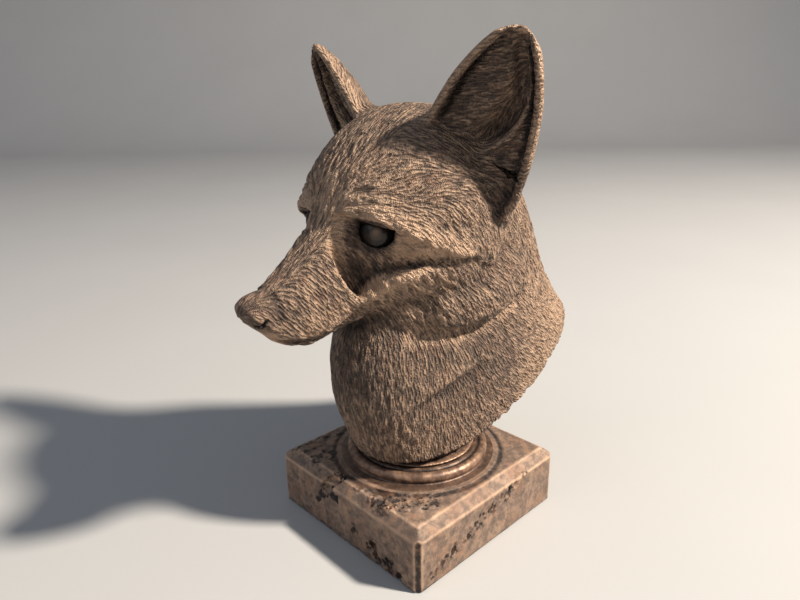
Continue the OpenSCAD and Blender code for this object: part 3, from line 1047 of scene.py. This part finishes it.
def eye(name, side, look):
    """An eyeball with a raised iris and a sunk pupil, looking out of its socket."""
    rings, spokes = 40, 64
    pupil_depth = 0.28
    centre = EYE * [side, 1, 1]
    out = EYE_OUT * [side, 1, 1]
    across = unit(np.cross([0, 0, 1], out))
    up = np.cross(out, across)
    points, marks = [EYE_R * np.array([0, 0, 1.0])], [1.0]
    for i in range(1, rings):
        tilt = math.pi * (i / rings) ** 1.25
        reach = EYE_R - pupil_depth * bell(tilt / 0.20) + 0.10 * bell((tilt - 0.34) / 0.10)
        # the middle of the ball is marked for a painted highlight
        mark = float(step(0.5 - tilt, 0.0, 0.45))
        for k in range(spokes):
            turn = 2 * math.pi * k / spokes
            level = math.sin(tilt)
            points.append(reach * np.array([level * math.cos(turn), level * math.sin(turn), math.cos(tilt)]))
            marks.append(mark)
    points[0] = points[0] * (1 - pupil_depth / EYE_R)
    points.append(EYE_R * np.array([0, 0, -1.0]))
    marks.append(0.0)
    last = len(points) - 1
    faces = [[0, 1 + k, 1 + (k + 1) % spokes] for k in range(spokes)]
    for i in range(rings - 2):
        a = 1 + i * spokes
        b = a + spokes
        faces += [[a + k, b + k, b + (k + 1) % spokes, a + (k + 1) % spokes] for k in range(spokes)]
    a = 1 + (rings - 2) * spokes
    faces += [[a + k, last, a + (k + 1) % spokes] for k in range(spokes)]
    turned = centre + np.array(points) @ np.array([across, up, out])
    piece = mesh_object(name + "_ball", turned, faces)
    store(piece, "ring", np.array(marks))
    dress(piece, look, [name])


# ---------------------------------------------------------------- the bust
def bust():
    look = fur_bronze()
    points, quads, layers = fox_mesh(0.68)
    normals = vertex_normals(points, quads)
    middle = points[quads].mean(1)
    left, right = is_ear(middle, 1), is_ear(middle, -1)
    parts = (("bust_skin", ~(left | right), "bust_shell"), ("left_ear_skin", left, "left_ear"),
             ("right_ear_skin", right, "right_ear"))
    for name, keep, node in parts:
        piece = cut_out(name, points, quads, keep, normals, layers)
        dress(piece, look, [node])


bust()
eye_look = eye_bronze()
eye("left_eye", 1, eye_look)
eye("right_eye", -1, eye_look)
stone = weathered_bronze()
turned = turned_bronze()
reach = PLINTH_HALF + 1.5
field_piece("plinth_block", plinth, (-reach, -reach, -1), (reach, reach, PLINTH_TOP + 2),
            0.5, stone, ["plinth"], edges=plinth_edges)
# the socle is darkened all over by shade, a painted shadow of the bust above it
field_piece("socle_block", socle, (-24, -24, SOCLE_FOOT - 1), (24, 24, 52),
            0.6, turned, ["socle"], shade=0.75)
lathe("ring_bead", ring_profile(), 192, turned, ["ring_moulding"])

finishes = {
    "foot_pad": pad_rubber(),
    "threaded_insert": plain_metal("brass", colour(150, 116, 58), colour(196, 160, 92), 0.3, 1.5),
    "tie_rod": plain_metal("zinc_steel", colour(120, 122, 126), colour(176, 178, 182), 0.32, 1.5),
}
for washer in ("flat_washer", "spring_washer", "hex_nut"):
    finishes[washer] = finishes["tie_rod"]
for node, look in finishes.items():
    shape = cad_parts[node].data
    shape.materials.clear()
    shape.materials.append(look)


# ---------------------------------------------------------------- stage, light and camera
def floor():
    """A pale floor that curves up into a backdrop."""
    size, far = 3.0, 1.4
    profile = [(-size, 0.0), (far, 0.0)]
    profile += [(far + 0.5 * math.sin(a), 0.5 - 0.5 * math.cos(a)) for a in np.radians(range(10, 91, 10))]
    profile += [(far + 0.5, 3.0)]
    turn = Matrix.Rotation(math.radians(CAMERA_TURN), 3, "Z")
    rows = [[turn @ Vector((x, y, z)) for x in (-4, 4)] for y, z in profile]
    points = np.array([list(v) for row in rows for v in row]) / MM
    faces = [[2 * i, 2 * i + 1, 2 * i + 3, 2 * i + 2] for i in range(len(rows) - 1)]
    piece = mesh_object("floor", points, faces)
    piece.data.materials.append(floor_finish())


CAMERA_TURN = 46.5
CAMERA_DOWN = 18.4
CAMERA_ROLL = -0.88
CAMERA_AT = Vector((0.1442, -0.1443, 0.1457))


def camera():
    data = bpy.data.cameras.new("camera")
    data.lens = 28.8
    data.sensor_width = 36
    data.clip_start = 0.01
    data.clip_end = 20
    made = bpy.data.objects.new("camera", data)
    bpy.context.scene.collection.objects.link(made)
    turn, down = math.radians(CAMERA_TURN), math.radians(CAMERA_DOWN)
    ahead = Vector((-math.sin(turn) * math.cos(down), math.cos(turn) * math.cos(down), -math.sin(down)))
    aim = ahead.to_track_quat("-Z", "Y").to_matrix().to_4x4()
    roll = Matrix.Rotation(math.radians(CAMERA_ROLL), 4, "Z")
    made.matrix_world = Matrix.Translation(CAMERA_AT) @ aim @ roll
    bpy.context.scene.camera = made


def lamp(name, at, size, power, tint):
    data = bpy.data.lights.new(name, "AREA")
    data.shape = "DISK"
    data.size = size
    data.energy = power
    data.color = tint
    made = bpy.data.objects.new(name, data)
    bpy.context.scene.collection.objects.link(made)
    made.location = at
    made.rotation_mode = "QUATERNION"
    made.rotation_quaternion = (Vector((0, 0, 0.08)) - Vector(at)).to_track_quat("-Z", "Y")


def light():
    world = bpy.data.worlds.new("studio")
    bpy.context.scene.world = world
    world.use_nodes = True
    sky = world.node_tree.nodes["Background"]
    sky.inputs["Color"].default_value = (0.74, 0.83, 1.0, 1)
    sky.inputs["Strength"].default_value = 0.32
    lamp("key", (0.90, 0.50, 1.02), 0.14, 50, (1.0, 0.91, 0.80))
    lamp("fill", (-0.3, -1.2, 1.0), 1.0, 3, (0.86, 0.92, 1.0))


floor()
camera()
light()
bpy.context.scene.view_settings.view_transform = "Standard"
